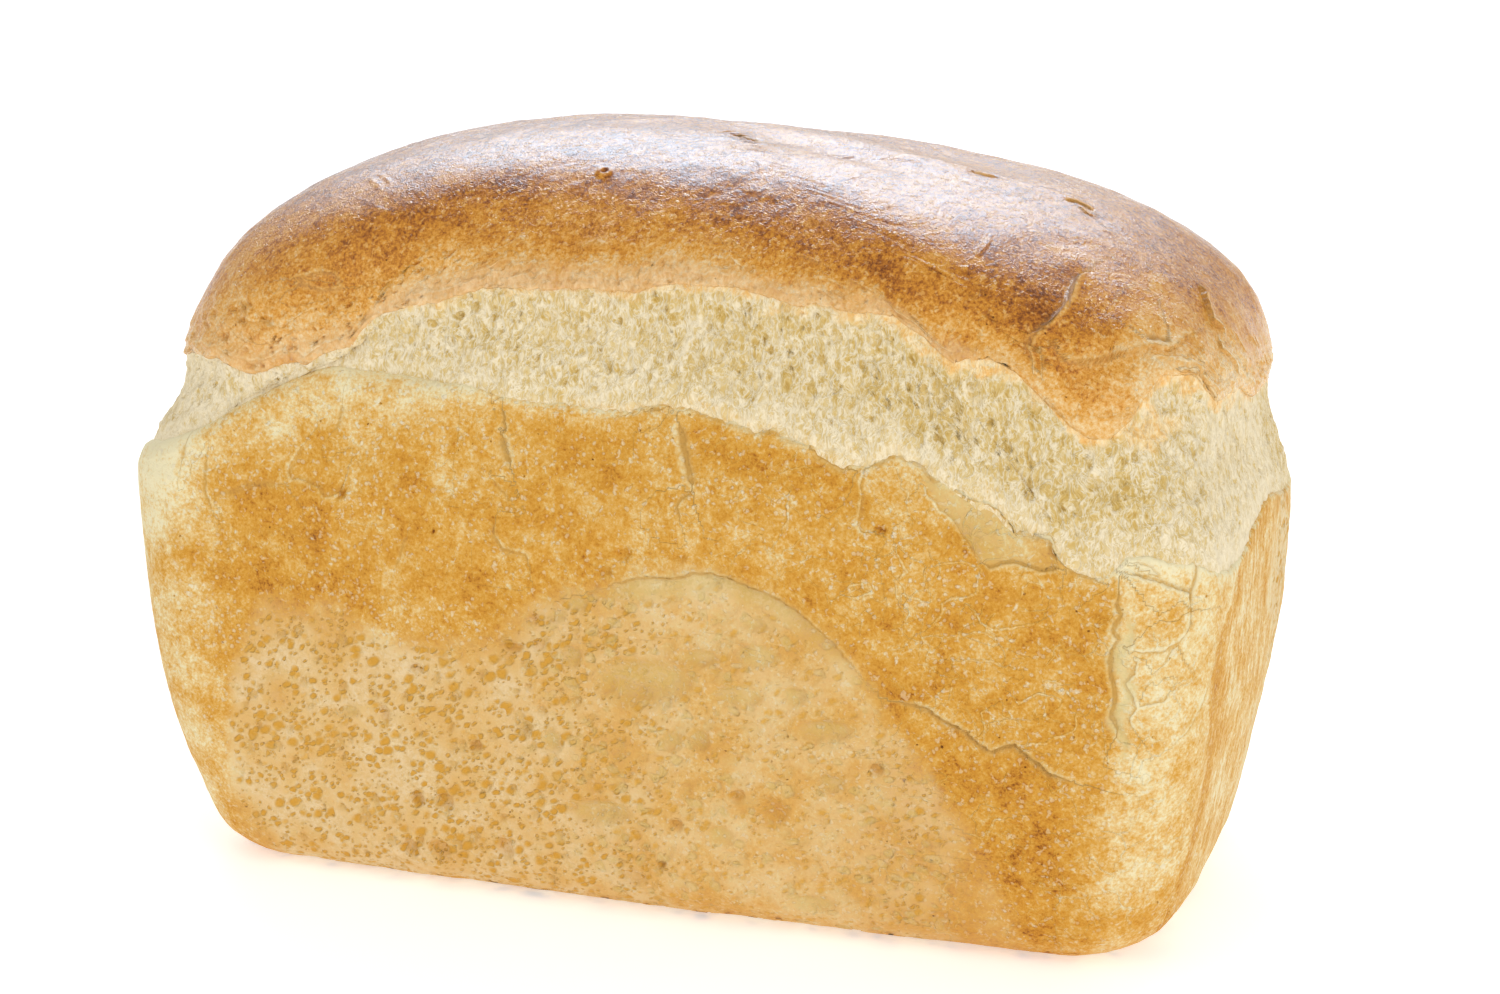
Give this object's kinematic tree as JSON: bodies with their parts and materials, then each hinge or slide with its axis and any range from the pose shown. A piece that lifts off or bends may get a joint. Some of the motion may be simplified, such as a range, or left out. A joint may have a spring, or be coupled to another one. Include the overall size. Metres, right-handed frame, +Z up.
{
  "type": "tin loaf of bread",
  "caption": "Whole uncut tin loaf: flat base, tapered golden side crust, torn pale crumb band all round and a domed browned top crust.",
  "frame": {"origin": "on the surface the loaf rests on, under the middle of its bounding box", "axes": "+Z up, +X along the loaf's length towards the end that shows, -Y towards the shown long side"},
  "size_m": [0.2214, 0.1164, 0.1493],
  "materials": {
    "crust": "matte"
  },
  "bodies": {
    "root": {"loaf": "crust"}
  },
  "joints": []
}
